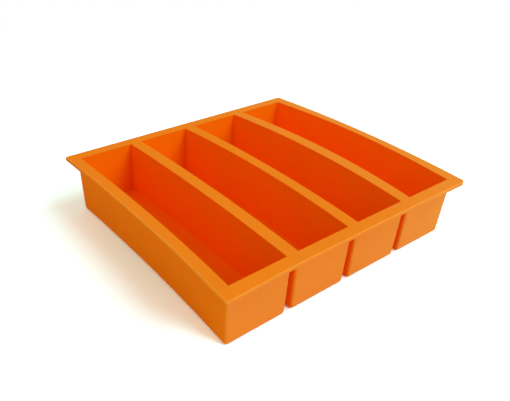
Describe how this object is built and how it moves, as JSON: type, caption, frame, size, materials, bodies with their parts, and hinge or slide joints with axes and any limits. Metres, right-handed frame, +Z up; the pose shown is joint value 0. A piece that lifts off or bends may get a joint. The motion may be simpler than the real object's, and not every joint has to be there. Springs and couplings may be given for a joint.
{
  "type": "long ice stick mould",
  "caption": "One-piece soft mould for long square ice sticks: deep straight-sided troughs, drafted and slightly bowed, hang side by side under one flat flange.",
  "frame": {"origin": "on the surface the mould stands on, under the middle of its outline", "axes": "+X across the troughs, +Y along them, +Z up out of the open mouths"},
  "size_m": [0.1653, 0.1474, 0.0328],
  "materials": {
    "silicone": "soft matt"
  },
  "bodies": {
    "root": {"mould": "silicone"}
  },
  "joints": []
}
